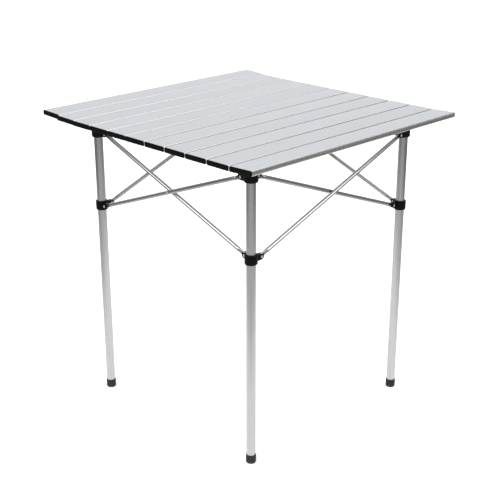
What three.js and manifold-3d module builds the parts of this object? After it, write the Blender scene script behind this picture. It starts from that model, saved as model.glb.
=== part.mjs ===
// Square camping table: a roll-up slatted aluminium top that clips onto a scissor-braced folding frame.
// Millimetres, +Z up. The origin is on the ground, under the middle of the top.
// The slats run along X. The four legs are named by the corner they stand at:
// front (-X -Y), left (-X +Y), back (+X +Y) and right (+X -Y).

import * as THREE from 'three';
import { mergeVertices } from 'three/addons/utils/BufferGeometryUtils.js';
import Module from 'manifold-3d';

const wasm = await Module();
wasm.setup();

// ---- driving dimensions ----

const TABLE_HEIGHT = 724;
const CLEARANCE = 0.3; // between pieces that touch or plug into each other
const RUNNING_GAP = 0.4; // between pieces that slide or turn on each other

// Roll-up top
const SLAT_COUNT = 11;
const SLAT_WIDTH = 62.7;
const TIGHT_GAP = 0.6; // between the slats of the far half, which close up on their cords
const LOOSE_GAP = 2; // between the slats of the near half
const TOP_LENGTH = 676; // along the slats, over their end caps
const SLAT_THICKNESS = 11.5;
const SLAT_WALL = 0.9;
const SLAT_TOP_RADIUS = 2.4;
const SLAT_BOTTOM_RADIUS = 2.4;
const CAP_PLATE = 0.8;
const CAP_CORNER_RADIUS = 2.8;
const PLUG_WALL = 1.6;
const PLUG_DEPTH = 14;

// Frame: the leg axes stand on a square, which is a little off the middle of the top
const LEG_SPACING = 512;
const FRAME_OFFSET_X = 6.2;
const FRAME_OFFSET_Y = -6.2;
const LEG_RADIUS = 10.5;
const LEG_WALL = 1;
const FOOT_RADIUS = 11.8;
const FOOT_HEIGHT = 21;
const FOOT_SOLE = 3;
const FOOT_EDGE_RADIUS = 2.5;

// Top fittings, one on each leg, and collars that slide on the legs
const CUP_RADIUS = 15.2;
const CUP_BOTTOM = 666;
const CUP_EDGE_RADIUS = 2.5;
const RIM_CHAMFER = 1; // on the upper edges of cups and collars
const LEG_TOP = 700;
const STUD_BASE_RADIUS = 8;
const STUD_TIP_RADIUS = 3;
const STUD_HEIGHT = 6;
const COLLAR_RADIUS = 14.2;
const COLLAR_BOTTOM = 484.5;
const COLLAR_HEIGHT = 22.7;
const COLLAR_EDGE_RADIUS = 2.4;

// Clevis lugs and the scissor braces that are pinned in them
const UPPER_PIVOT_HEIGHT = 674;
const LOWER_PIVOT_HEIGHT = 498;
const PIVOT_REACH = 22; // from the leg's axis to the pin
const BRACE_SHIFT = 5.2; // from the plane of the legs to each brace of a crossed pair
const BRACE_RADIUS = 4.75;
const BRACE_WALL = 1;
const TANG_THICKNESS = 4;
const TANG_LENGTH = 12;
const TAPER_LENGTH = 8;
const CHEEK_THICKNESS = 2.8;
const LUG_RADIUS = 6.5;
const LUG_RISE = 6;
const LUG_CHAMFER = 2;
const LUG_ROOT = 3; // how far a lug reaches into the wall that it stands on
const PIN_RADIUS = 2;
const PIN_RECESS = 0.4; // of a pin's ends in the lug's cheeks
const SLIT_WIDTH = 1; // between the two walls of a squashed tube end
const SLIT_HEIGHT = 6;
const RIVET_HEAD_RADIUS = 4;
const RIVET_HEAD_HEIGHT = 1.2;

// ---- derived dimensions ----

const TOP_UNDERSIDE = TABLE_HEIGHT - SLAT_THICKNESS;
const SLAT_LENGTH = TOP_LENGTH - 2 * (CAP_PLATE + CLEARANCE);
const LOOSE_GAP_COUNT = Math.floor(SLAT_COUNT / 2);
const TIGHT_GAP_COUNT = SLAT_COUNT - 1 - LOOSE_GAP_COUNT;
const GAPS_WIDTH = LOOSE_GAP_COUNT * LOOSE_GAP + TIGHT_GAP_COUNT * TIGHT_GAP;
const TOP_WIDTH = SLAT_COUNT * SLAT_WIDTH + GAPS_WIDTH; // across the slats
const HALF_SPACING = LEG_SPACING / 2;
const SLOT_HALF_WIDTH = TANG_THICKNESS / 2 + RUNNING_GAP;
const LUG_HALF_WIDTH = SLOT_HALF_WIDTH + CHEEK_THICKNESS;
const BRACE_SPAN = LEG_SPACING - 2 * PIVOT_REACH;
const BRACE_RISE = UPPER_PIVOT_HEIGHT - LOWER_PIVOT_HEIGHT;
const BRACE_LENGTH = Math.hypot(BRACE_SPAN, BRACE_RISE);
const BRACE_ANGLE = Math.atan2(BRACE_RISE, BRACE_SPAN);
const ROUND_SEGMENTS = 24;
const TUBE_SEGMENTS = 16;
const PIN_SEGMENTS = 12;

// ---- materials ----

const FINISHES = {
  slat: { color: 0xd3d7da, roughness: 0.42, metalness: 0.85 },
  tube: { color: 0xb4b2ae, roughness: 0.38, metalness: 0.9 },
  plastic: { color: 0x141414, roughness: 0.5, metalness: 0 },
  rubber: { color: 0x101010, roughness: 0.8, metalness: 0 },
};

const table = new THREE.Group();

function addPiece(parent, name, geometry, finish) {
  const mesh = new THREE.Mesh(geometry, new THREE.MeshStandardMaterial(FINISHES[finish]));
  mesh.name = name;
  parent.add(mesh);
  return mesh;
}

// ---- solids ----

function toSolid(geometry) {
  const bare = geometry.clone();
  bare.deleteAttribute('normal');
  bare.deleteAttribute('uv');
  const merged = mergeVertices(bare, 1e-4);
  const vertProperties = new Float32Array(merged.attributes.position.array);
  const triVerts = new Uint32Array(merged.index.array);
  return new wasm.Manifold(new wasm.Mesh({ numProp: 3, vertProperties, triVerts }));
}

function toGeometry(solid) {
  const mesh = solid.getMesh();
  const geometry = new THREE.BufferGeometry();
  geometry.setAttribute('position', new THREE.BufferAttribute(mesh.vertProperties, 3));
  geometry.setIndex(new THREE.BufferAttribute(mesh.triVerts, 1));
  geometry.computeVertexNormals();
  return geometry;
}

function joined(geometries) {
  return geometries.map(toSolid).reduce((a, b) => a.add(b));
}

// A round solid about Z from its [radius, height] outline, listed upwards along the outside.
function turned(outline, segments = ROUND_SEGMENTS) {
  const points = outline.map(([radius, height]) => new THREE.Vector2(radius, height));
  return new THREE.LatheGeometry(points, segments).rotateX(Math.PI / 2);
}

// The quarter-round lower edge of a turned outline, from its flat bottom up to its side.
function roundedFoot(sideRadius, bottom, edgeRadius, steps = 3) {
  return Array.from({ length: steps + 1 }, (_, i) => {
    const angle = (Math.PI / 2) * (i / steps - 1);
    const radius = sideRadius - edgeRadius + edgeRadius * Math.cos(angle);
    return [radius, bottom + edgeRadius + edgeRadius * Math.sin(angle)];
  });
}

// A round bar along Z, centred on a point.
function barAlongZ(radius, length, x, y, z) {
  return new THREE.CylinderGeometry(radius, radius, length, ROUND_SEGMENTS)
    .rotateX(Math.PI / 2)
    .translate(x, y, z);
}

function box(xMin, xMax, yMin, yMax, zMin, zMax) {
  return new THREE.BoxGeometry(xMax - xMin, yMax - yMin, zMax - zMin)
    .translate((xMin + xMax) / 2, (yMin + yMax) / 2, (zMin + zMax) / 2);
}

// A round bar along Y, centred on a point in the XZ plane.
function barAlongY(radius, yMin, yMax, x, z) {
  return new THREE.CylinderGeometry(radius, radius, yMax - yMin, PIN_SEGMENTS)
    .translate(x, (yMin + yMax) / 2, z);
}

// A round bar along X.
function barAlongX(radius, xMin, xMax) {
  return new THREE.CylinderGeometry(radius, radius, xMax - xMin, TUBE_SEGMENTS)
    .rotateZ(Math.PI / 2)
    .translate((xMin + xMax) / 2, 0, 0);
}

// A flat plate whose outline lies in the XZ plane, between two values of Y.
function plateAlongY(shape, yMin, yMax, curveSegments = 3) {
  return new THREE.ExtrudeGeometry(shape, { depth: yMax - yMin, bevelEnabled: false, curveSegments })
    .rotateX(Math.PI / 2)
    .translate(0, yMax, 0);
}

// A bar along X whose section lies in the YZ plane, starting at X = 0.
function sectionAlongX(shape, length, curveSegments) {
  const turn = new THREE.Matrix4().makeBasis(
    new THREE.Vector3(0, 1, 0),
    new THREE.Vector3(0, 0, 1),
    new THREE.Vector3(1, 0, 0),
  );
  return new THREE.ExtrudeGeometry(shape, { depth: length, bevelEnabled: false, curveSegments })
    .applyMatrix4(turn);
}

// ---- roll-up top ----

// The outline of a slat's section, drawn with its top face at zero and moved in by an inset.
function slatOutline(inset, upperRadius = SLAT_TOP_RADIUS, lowerRadius = SLAT_BOTTOM_RADIUS) {
  const half = SLAT_WIDTH / 2 - inset;
  const top = -inset;
  const bottom = inset - SLAT_THICKNESS;
  const upper = Math.max(upperRadius - inset, 0.4);
  const lower = Math.max(lowerRadius - inset, 0.4);
  const outline = new THREE.Shape();
  outline.absarc(half - lower, bottom + lower, lower, -Math.PI / 2, 0, false);
  outline.absarc(half - upper, top - upper, upper, 0, Math.PI / 2, false);
  outline.absarc(-half + upper, top - upper, upper, Math.PI / 2, Math.PI, false);
  outline.absarc(-half + lower, bottom + lower, lower, Math.PI, 1.5 * Math.PI, false);
  outline.closePath();
  return outline;
}

// The same section's hollow, a plain rectangle.
function slatHollow(inset) {
  const half = SLAT_WIDTH / 2 - inset;
  const top = -inset;
  const bottom = inset - SLAT_THICKNESS;
  const corners = [[-half, bottom], [-half, top], [half, top], [half, bottom]];
  return new THREE.Path(corners.map(([y, z]) => new THREE.Vector2(y, z)));
}

// A hollow slat. Its sockets are round holes through its lower wall, at the given X and Y.
function slatGeometry(sockets) {
  const section = slatOutline(0);
  section.holes.push(slatHollow(SLAT_WALL));
  let solid = toSolid(sectionAlongX(section, SLAT_LENGTH, 2).translate(-SLAT_LENGTH / 2, 0, 0));
  for (const [x, y] of sockets) {
    const hole = barAlongZ(STUD_BASE_RADIUS + RUNNING_GAP, 4 * SLAT_WALL, x, y, -SLAT_THICKNESS);
    solid = solid.subtract(toSolid(hole));
  }
  return toGeometry(solid);
}

// The cap on the -X end of a slat: a thin plate that covers the end and a hollow plug behind it.
function endCapGeometry() {
  const plateSection = slatOutline(0, CAP_CORNER_RADIUS, CAP_CORNER_RADIUS);
  const plugSection = slatOutline(SLAT_WALL + CLEARANCE);
  plugSection.holes.push(slatHollow(SLAT_WALL + CLEARANCE + PLUG_WALL));
  const plate = toSolid(sectionAlongX(plateSection, CAP_PLATE, 1));
  const plug = toSolid(sectionAlongX(plugSection, PLUG_DEPTH, 1));
  return toGeometry(plate.add(plug));
}

// The middle of a slat, counted from 1 at the far side.
function slatCentre(number) {
  const tight = Math.min(number - 1, TIGHT_GAP_COUNT);
  const loose = number - 1 - tight;
  const fromEdge = (number - 0.5) * SLAT_WIDTH + tight * TIGHT_GAP + loose * LOOSE_GAP;
  return TOP_WIDTH / 2 - fromEdge;
}

// The studs of the legs on one side, seen from the middle of the slat that they plug into.
function socketsOf(slatY, legY) {
  return [-1, 1].map((side) => [FRAME_OFFSET_X + side * HALF_SPACING, legY - slatY]);
}

const capGeometry = endCapGeometry();
for (let i = 1; i <= SLAT_COUNT; i += 1) {
  const number = String(i).padStart(2, '0');
  const slatY = slatCentre(i);
  const slat = new THREE.Group();
  slat.position.set(0, slatY, TABLE_HEIGHT);
  table.add(slat);

  let sockets = [];
  if (i === 2) sockets = socketsOf(slatY, FRAME_OFFSET_Y + HALF_SPACING);
  if (i === SLAT_COUNT - 1) sockets = socketsOf(slatY, FRAME_OFFSET_Y - HALF_SPACING);
  addPiece(slat, `slat_${number}`, slatGeometry(sockets), 'slat');

  const leftCap = addPiece(slat, `end_cap_left_${number}`, capGeometry, 'plastic');
  leftCap.position.x = -TOP_LENGTH / 2;
  const rightCap = addPiece(slat, `end_cap_right_${number}`, capGeometry, 'plastic');
  rightCap.position.x = TOP_LENGTH / 2;
  rightCap.rotation.z = Math.PI;
}

// ---- clevis lugs, shared by the top fittings and the collars ----

// The side outline of a lug: flat on top, rounded below the pin.
function cheekOutline() {
  const root = LEG_RADIUS - LUG_ROOT;
  const tip = PIVOT_REACH + LUG_RADIUS;
  const outline = new THREE.Shape();
  outline.moveTo(root, -LUG_RADIUS);
  outline.lineTo(PIVOT_REACH, -LUG_RADIUS);
  outline.absarc(PIVOT_REACH, 0, LUG_RADIUS, -Math.PI / 2, 0, false);
  outline.lineTo(tip, LUG_RISE - LUG_CHAMFER);
  outline.lineTo(tip - LUG_CHAMFER, LUG_RISE);
  outline.lineTo(root, LUG_RISE);
  outline.closePath();
  return outline;
}

// A lug that reaches along +X: two cheeks, the web that joins them and the pin across them.
// The shift is how far its slot lies from the leg's axis, along Y.
function lugSolid(shift) {
  const outline = cheekOutline();
  const low = shift - LUG_HALF_WIDTH;
  const high = shift + LUG_HALF_WIDTH;
  const webEnd = PIVOT_REACH - BRACE_RADIUS - RUNNING_GAP;
  const parts = [
    plateAlongY(outline, low, low + CHEEK_THICKNESS),
    plateAlongY(outline, high - CHEEK_THICKNESS, high),
    box(LEG_RADIUS - LUG_ROOT, webEnd, low + 1, high - 1, -LUG_RADIUS, LUG_RISE),
    barAlongY(PIN_RADIUS, low + PIN_RECESS, high - PIN_RECESS, PIVOT_REACH, 0),
  ];
  return joined(parts);
}

// Two lugs at a right angle, one along +X and one along +Y, at the height of their pins.
function lugPair(shift, height) {
  const lug = lugSolid(shift);
  return lug.add(lug.rotate([0, 0, 90])).translate([0, 0, height]);
}

// ---- pieces of one corner, made about the leg's own axis ----

function legGeometry() {
  const bottom = FOOT_SOLE + CLEARANCE;
  const top = LEG_TOP - CLEARANCE;
  const inside = LEG_RADIUS - LEG_WALL;
  return turned([
    [inside, bottom],
    [LEG_RADIUS, bottom],
    [LEG_RADIUS, top],
    [inside, top],
    [inside, bottom],
  ]);
}

function footGeometry() {
  const bore = LEG_RADIUS + CLEARANCE;
  return turned([
    [0, 0],
    ...roundedFoot(FOOT_RADIUS, 0, FOOT_EDGE_RADIUS),
    [FOOT_RADIUS, FOOT_HEIGHT],
    [bore, FOOT_HEIGHT],
    [bore, FOOT_SOLE],
    [0, FOOT_SOLE],
  ]);
}

// A cup on the leg's top end, with two lugs and a tapered stud that plugs into a slat.
function topFittingGeometry() {
  const cupTop = TOP_UNDERSIDE - CLEARANCE;
  const cup = turned([
    [0, CUP_BOTTOM],
    ...roundedFoot(CUP_RADIUS, CUP_BOTTOM, CUP_EDGE_RADIUS),
    [CUP_RADIUS, cupTop - RIM_CHAMFER],
    [CUP_RADIUS - RIM_CHAMFER, cupTop],
    [STUD_BASE_RADIUS, cupTop],
    [STUD_TIP_RADIUS, cupTop + STUD_HEIGHT],
    [0, cupTop + STUD_HEIGHT],
  ]);
  const lugs = lugPair(BRACE_SHIFT, UPPER_PIVOT_HEIGHT);
  const bore = barAlongZ(LEG_RADIUS + CLEARANCE, 2 * (LEG_TOP - CUP_BOTTOM), 0, 0, CUP_BOTTOM);
  return toGeometry(toSolid(cup).add(lugs).subtract(toSolid(bore)));
}

// A sleeve that slides on the leg, with two lugs.
function collarGeometry() {
  const top = COLLAR_BOTTOM + COLLAR_HEIGHT;
  const sleeve = turned([
    [0, COLLAR_BOTTOM],
    ...roundedFoot(COLLAR_RADIUS, COLLAR_BOTTOM, COLLAR_EDGE_RADIUS),
    [COLLAR_RADIUS, top - RIM_CHAMFER],
    [COLLAR_RADIUS - RIM_CHAMFER, top],
    [0, top],
  ]);
  const lugs = lugPair(-BRACE_SHIFT, LOWER_PIVOT_HEIGHT);
  const bore = barAlongZ(LEG_RADIUS + RUNNING_GAP, 4 * COLLAR_HEIGHT, 0, 0, COLLAR_BOTTOM);
  return toGeometry(toSolid(sleeve).add(lugs).subtract(toSolid(bore)));
}

// ---- braces, made along +X from one pin to the other ----

// The plan of a brace: thin flat tangs at both ends that widen to the full tube.
function bracePlan() {
  const tang = TANG_THICKNESS / 2;
  const full = BRACE_RADIUS + 1;
  const taperEnd = TANG_LENGTH + (TAPER_LENGTH * (full - tang)) / (BRACE_RADIUS - tang);
  const half = [
    [-full, tang],
    [TANG_LENGTH, tang],
    [taperEnd, full],
    [BRACE_LENGTH - taperEnd, full],
    [BRACE_LENGTH - TANG_LENGTH, tang],
    [BRACE_LENGTH + full, tang],
  ];
  const mirrored = half.map(([x, y]) => [x, -y]).reverse();
  const points = [...half, ...mirrored].map(([x, y]) => new THREE.Vector2(x, y));
  const depth = 4 * BRACE_RADIUS;
  return new THREE.ExtrudeGeometry(new THREE.Shape(points), { depth, bevelEnabled: false })
    .translate(0, 0, -depth / 2);
}

// The side view of a brace: round ends about both pins.
function braceSide() {
  const outline = new THREE.Shape();
  outline.absarc(BRACE_LENGTH, 0, BRACE_RADIUS, -Math.PI / 2, Math.PI / 2, false);
  outline.absarc(0, 0, BRACE_RADIUS, Math.PI / 2, 1.5 * Math.PI, false);
  outline.closePath();
  return plateAlongY(outline, -2 * BRACE_RADIUS, 2 * BRACE_RADIUS, 4);
}

// A tube squashed flat at both ends, with a hole for each pin. The squashed ends stay open as slits,
// which run into the tube's bore.
function braceTube() {
  const inside = BRACE_RADIUS - BRACE_WALL;
  const boreStart = TANG_LENGTH + TAPER_LENGTH + 2;
  const slitEnd = boreStart + 2;
  let solid = toSolid(barAlongX(BRACE_RADIUS, -2 * BRACE_RADIUS, BRACE_LENGTH + 2 * BRACE_RADIUS))
    .intersect(toSolid(bracePlan()))
    .intersect(toSolid(braceSide()))
    .subtract(toSolid(barAlongX(inside, boreStart, BRACE_LENGTH - boreStart)));
  const slits = [
    [-2 * BRACE_RADIUS, slitEnd],
    [BRACE_LENGTH - slitEnd, BRACE_LENGTH + 2 * BRACE_RADIUS],
  ];
  for (const [from, to] of slits) {
    const slit = box(from, to, -SLIT_WIDTH / 2, SLIT_WIDTH / 2, -SLIT_HEIGHT / 2, SLIT_HEIGHT / 2);
    solid = solid.subtract(toSolid(slit));
  }
  for (const x of [0, BRACE_LENGTH]) {
    solid = solid.subtract(pinHole(x));
  }
  return solid;
}

function pinHole(x) {
  return toSolid(barAlongY(PIN_RADIUS + RUNNING_GAP, -2 * BRACE_RADIUS, 2 * BRACE_RADIUS, x, 0));
}

// The inner brace of a crossed pair has a plain hole where the outer brace's rivet goes through.
function innerBraceGeometry() {
  return toGeometry(braceTube().subtract(pinHole(BRACE_LENGTH / 2)));
}

// The outer brace carries the rivet of the crossing, which reaches through the inner brace.
function outerBraceGeometry() {
  const middle = BRACE_LENGTH / 2;
  const farFace = -2 * BRACE_SHIFT - BRACE_RADIUS - CLEARANCE;
  const farHeadEnd = farFace - RIVET_HEAD_HEIGHT;
  const nearHeadEnd = BRACE_RADIUS + RIVET_HEAD_HEIGHT;
  const rivet = joined([
    barAlongY(PIN_RADIUS, farHeadEnd + PIN_RECESS, nearHeadEnd - PIN_RECESS, middle, 0),
    barAlongY(RIVET_HEAD_RADIUS, farHeadEnd, farFace, middle, 0),
    barAlongY(RIVET_HEAD_RADIUS, BRACE_RADIUS - BRACE_WALL, nearHeadEnd, middle, 0),
  ]);
  return toGeometry(braceTube().add(rivet));
}

// ---- frame ----

const leg = legGeometry();
const foot = footGeometry();
const topFitting = topFittingGeometry();
const collar = collarGeometry();
const outerBrace = outerBraceGeometry();
const innerBrace = innerBraceGeometry();

// Corners in clockwise order from above. Each has the side that leads to the next corner.
const CORNERS = [
  { name: 'front', side: 'front_left' },
  { name: 'left', side: 'back_left' },
  { name: 'back', side: 'back_right' },
  { name: 'right', side: 'front_right' },
];

const frame = new THREE.Group();
frame.position.set(FRAME_OFFSET_X, FRAME_OFFSET_Y, 0);
table.add(frame);

CORNERS.forEach(({ name, side }, turns) => {
  const corner = new THREE.Group();
  corner.rotation.z = (-turns * Math.PI) / 2;
  frame.add(corner);

  const upright = new THREE.Group();
  upright.position.set(-HALF_SPACING, -HALF_SPACING, 0);
  corner.add(upright);
  addPiece(upright, `leg_${name}`, leg, 'tube');
  addPiece(upright, `foot_${name}`, foot, 'rubber');
  addPiece(upright, `top_fitting_${name}`, topFitting, 'plastic');
  addPiece(upright, `collar_${name}`, collar, 'plastic');

  // The outer brace comes down to the next corner's collar, and the inner one rises to its top fitting.
  const pinY = -HALF_SPACING + PIVOT_REACH;
  const outer = addPiece(corner, `brace_outer_${side}`, outerBrace, 'tube');
  outer.position.set(-HALF_SPACING - BRACE_SHIFT, pinY, UPPER_PIVOT_HEIGHT);
  outer.rotation.set(0, BRACE_ANGLE, Math.PI / 2, 'ZYX');
  const inner = addPiece(corner, `brace_inner_${side}`, innerBrace, 'tube');
  inner.position.set(-HALF_SPACING + BRACE_SHIFT, pinY, LOWER_PIVOT_HEIGHT);
  inner.rotation.set(0, -BRACE_ANGLE, Math.PI / 2, 'ZYX');
});

export default table;
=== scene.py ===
import math
import random

import bmesh
import bpy
from mathutils import Matrix, Vector


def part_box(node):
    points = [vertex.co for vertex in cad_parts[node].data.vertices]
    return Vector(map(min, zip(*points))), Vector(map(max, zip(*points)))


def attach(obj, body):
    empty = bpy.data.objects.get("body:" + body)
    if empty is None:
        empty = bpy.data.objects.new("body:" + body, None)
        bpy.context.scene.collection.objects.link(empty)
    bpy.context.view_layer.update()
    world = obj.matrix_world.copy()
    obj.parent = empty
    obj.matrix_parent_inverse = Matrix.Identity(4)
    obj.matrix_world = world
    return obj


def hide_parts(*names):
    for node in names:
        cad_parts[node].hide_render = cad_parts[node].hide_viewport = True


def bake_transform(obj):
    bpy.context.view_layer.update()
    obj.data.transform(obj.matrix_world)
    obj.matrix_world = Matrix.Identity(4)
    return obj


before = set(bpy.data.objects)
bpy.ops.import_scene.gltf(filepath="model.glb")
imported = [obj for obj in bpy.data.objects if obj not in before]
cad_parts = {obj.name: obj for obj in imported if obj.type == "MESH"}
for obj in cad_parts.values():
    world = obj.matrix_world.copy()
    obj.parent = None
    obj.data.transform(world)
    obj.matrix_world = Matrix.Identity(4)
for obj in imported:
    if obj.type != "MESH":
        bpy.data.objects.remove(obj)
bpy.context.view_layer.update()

# Roll-top camping table: a slatted aluminium top on a scissor-braced folding frame.
# Metres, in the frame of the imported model: +Z up, slats along X, origin on the ground.

random.seed(7)

MM = 0.001
MERGE_DISTANCE = 1e-7

# Slats and end caps
SLAT_WALL = 0.9 * MM
SLAT_RADIUS = 2.4 * MM
SMALLEST_RADIUS = 0.5 * MM  # of an inner corner
CAP_PLATE = 0.8 * MM
CAP_CORNER_RADIUS = 2.8 * MM
CAP_BEVEL = 0.25 * MM
PLUG_WALL = 1.6 * MM
CLEARANCE = 0.3 * MM
SOCKET_RADIUS = 8.4 * MM
SOCKET_SLATS = {2: ("leg_left", "leg_back"), 10: ("leg_front", "leg_right")}

# How the outermost slats lie: bent up a little about their hinge lines, and slid along X
REST_BEND = {1: 0.9, 2: 1.0, 10: 2.0}  # degrees, at the hinge of a slat and the next one
REST_SLIDE = {1: 7.4 * MM, 2: 1.7 * MM}

# Elastic cords that the slats are threaded on
CORD_X = 300 * MM
CORD_RADIUS = 1.5 * MM
CORD_HOLE_RADIUS = 2.2 * MM
CORD_HOLE_REACH = 2 * MM  # of the cutter, to both sides of a wall's face
CORD_DROP = 6 * MM
CORD_INSIDE = 6 * MM
CORD_SIDES = 12
CORD_INSIDE_STEPS = 3
CORD_GAP_STEPS = 16

# Legs, cups and collars
LEG_WALL = 1 * MM
TUBE_EDGE_RADIUS = 0.3 * MM
FOOT_SOLE = 3 * MM
FOOT_TREAD_INSET = 1.2 * MM
FOOT_TREAD_HEIGHT = 3 * MM
FOOT_GROOVE_DEPTH = 0.5 * MM
FOOT_LIP = 2.6 * MM  # height of the band above the groove
CUP_RADIUS = 15.2 * MM
CUP_EDGE_RADIUS = 2.5 * MM
COLLAR_RADIUS = 14.2 * MM
COLLAR_EDGE_RADIUS = 2.4 * MM
RIM_RADIUS = 0.9 * MM
MOULDING_BEVEL = 0.45 * MM
LEG_TOP = 700 * MM
RUNNING_GAP = 0.4 * MM
STUD_BASE_RADIUS = 8 * MM
STUD_TIP_RADIUS = 3 * MM
STUD_HEIGHT = 6 * MM
STUD_FOOT_FILLET = 0.6 * MM
STUD_TIP_FILLET = 1.2 * MM
CUT_MARGIN = 10 * MM  # how far a cutter reaches past what it cuts

# Lugs, pins and braces
UPPER_PIN = 674 * MM
LOWER_PIN = 498 * MM
PIN_REACH = 22 * MM
BRACE_SHIFT = 5.2 * MM
BRACE_RADIUS = 4.75 * MM
BRACE_SIDES = 40
BRACE_TIP_HALF = 0.3 * MM
TANG_HALF = 2 * MM
TANG_LENGTH = 12 * MM
TANG_POWERS = (0.42, 0.75)  # of the flat ends' superellipse in Y and Z; the round part has 1 and 1
TAPER_LENGTH = 12.8 * MM
TAPER_STEPS = 14
SLIT_HALF = 0.18 * MM
SLIT_RISE = 3.2 * MM
SLOT_HALF = TANG_HALF + RUNNING_GAP
CHEEK = 2.8 * MM
LUG_HALF = SLOT_HALF + CHEEK
LUG_RADIUS = 6.5 * MM
LUG_RISE = 6 * MM
LUG_CHAMFER = 2 * MM
LUG_ROOT = 3 * MM
PIN_RADIUS = 2 * MM
PIN_PLAY = 0.15 * MM
RIVET_HEAD_RADIUS = 3.1 * MM
RIVET_HEAD_HEIGHT = 1.5 * MM
WASHER_RADIUS = 3.8 * MM
WASHER_PLAY = 0.1 * MM
WASHER_EDGE_RADIUS = 0.15 * MM

# Camera, as fitted to the photo, with its lens and sensor in millimetres
CAMERA_TARGET = (-0.0334, -0.0427, 0.3977)
CAMERA_DIRECTION = (-135.022, 21.063)  # azimuth and elevation in degrees, as in aim()
CAMERA_DISTANCE = 2.5377
CAMERA_LENS = 75.6
CAMERA_SENSOR = 36
CAMERA_REACH = 200

# Studio. A lobe is a direction, the two angles of its soft edge in degrees, and its brightness.
HORIZON = (-0.06, 0.10)  # heights on the unit sphere between which the walls' two levels blend
WALL_LEVELS = (0.20, 0.34)
BACKDROP = ((59, 9), 14, 50, 0.645)
OVERHEAD = ((17, 57), 10, 21, 2.1)
SIDE_AZIMUTHS = (-67.5, 157.5)
SIDE_ELEVATIONS = (18, 40, 62)
SIDE_LOBE = (9, 16, 2.3)
FLOOR_RADIUS = 60
FLOOR_GLOW = 0.45
POOL_RADIUS = 4
POOL_HEIGHT = 1 * MM
POOL_TURN = 45
POOL_CENTRE = (0.5, 1.35, 0.42, 0)  # two distances from the middle, and the brightness at each
POOL_ASIDE = (1.3, 2.9, 0.52, 0.08)  # the same by distance to the left or right
KEY_LIGHT = {"target": (0, 0, 0.45), "azimuth": -170, "elevation": 55, "distance": 3.2,
             "size": 1.6, "power": 14}

# Shader nodes
NOISE = (0.3, 0.7)  # where nearly all the values of a noise lie
COLOUR_A, COLOUR_B, COLOUR_RESULT = 6, 7, 2  # a Mix node's sockets for colours
STRAND_LEAN = 35  # degrees
STRAND_SCALE = 700

# Where a slat's surface changes: from its middle outwards, and in height from its top face
EDGE_ACROSS = (27.5 * MM, 31 * MM)
POLISH_ACROSS = (28.7 * MM, 29.5 * MM)
GAP_HIGHLIGHT_ALONG = (331 * MM, 333 * MM)
DULL_TOP = (-1.5 * MM, -0.5 * MM)
SEAM_SHADE_TOP = (-1 * MM, -0.5 * MM)
SEAM_SHADE_BOTTOM = (-3.5 * MM, -2.6 * MM)
ROUGH_TOP = (-3.2 * MM, -2.2 * MM)
DUST_HEIGHT = (0, 9 * MM)  # on a foot

SLAT_COUNT = sum(name.startswith("slat_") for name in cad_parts)
CORNERS = ("front", "left", "back", "right")  # clockwise from above
SIDES = ("front_left", "back_left", "back_right", "front_right")  # each follows its corner


# ---- places, from the frame ----

def centre_of(node):
    low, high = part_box(node)
    return (low + high) / 2


leg_centres = [centre_of(f"leg_{name}") for name in CORNERS]
frame_centre = sum(leg_centres, Vector()) / len(CORNERS)
frame_centre.z = 0
HALF_SPACING = abs(leg_centres[0].x - frame_centre.x)
LEG_RADIUS = (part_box("leg_front")[1].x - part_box("leg_front")[0].x) / 2
BRACE_SPAN = 2 * (HALF_SPACING - PIN_REACH)
BRACE_RISE = UPPER_PIN - LOWER_PIN
BRACE_LENGTH = math.hypot(BRACE_SPAN, BRACE_RISE)
BRACE_ANGLE = math.atan2(BRACE_RISE, BRACE_SPAN)


def corner_matrix(turns):
    """The frame's middle, turned so that the corner lies at -X -Y."""
    return Matrix.Translation(frame_centre) @ Matrix.Rotation(-turns * math.pi / 2, 4, "Z")


def upright_matrix(turns):
    """The axis of a corner's leg, on the ground."""
    return corner_matrix(turns) @ Matrix.Translation((-HALF_SPACING, -HALF_SPACING, 0))


# ---- mesh building ----

def circle(count):
    """The angles of equal steps round a circle."""
    return [2 * math.pi * k / count for k in range(count)]


def quarter(steps=8):
    """The angles of equal steps through a quarter of a circle."""
    return [math.pi / 2 * k / steps for k in range(steps + 1)]


def filleted(corners, steps=6):
    """A closed outline from (x, y, radius) corners, each one rounded by an arc."""
    points = []
    for i, (x, y, radius) in enumerate(corners):
        corner = Vector((x, y))
        before = Vector(corners[i - 1][:2])
        after = Vector(corners[(i + 1) % len(corners)][:2])
        if radius <= 0:
            points.append(corner)
            continue
        back = (before - corner).normalized()
        ahead = (after - corner).normalized()
        half = math.acos(max(-1.0, min(1.0, back.dot(ahead)))) / 2
        run = radius / math.tan(half)
        middle = corner + (back + ahead).normalized() * (radius / math.sin(half))
        start = corner + back * run - middle
        end = corner + ahead * run - middle
        points += [middle + start.slerp(end, step / steps) * radius for step in range(steps + 1)]
    return points


def mesh_object(name, build):
    """A new object whose mesh a function fills in with bmesh."""
    mesh = bpy.data.meshes.new(name)
    work = bmesh.new()
    build(work)
    bmesh.ops.remove_doubles(work, verts=work.verts, dist=MERGE_DISTANCE)
    bmesh.ops.recalc_face_normals(work, faces=work.faces)
    work.to_mesh(mesh)
    work.free()
    piece = bpy.data.objects.new(name, mesh)
    bpy.context.scene.collection.objects.link(piece)
    return piece


def skin(work, rings, closed=False):
    """Joins rings of equal length by quads. Open ends are filled."""
    rows = [[work.verts.new(point) for point in ring] for ring in rings]
    pairs = list(zip(rows, rows[1:]))
    if closed:
        pairs.append((rows[-1], rows[0]))
    for low, high in pairs:
        for i in range(len(low)):
            j = (i + 1) % len(low)
            work.faces.new((low[i], low[j], high[j], high[i]))
    if not closed:
        work.faces.new(rows[0])
        work.faces.new(rows[-1])


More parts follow.
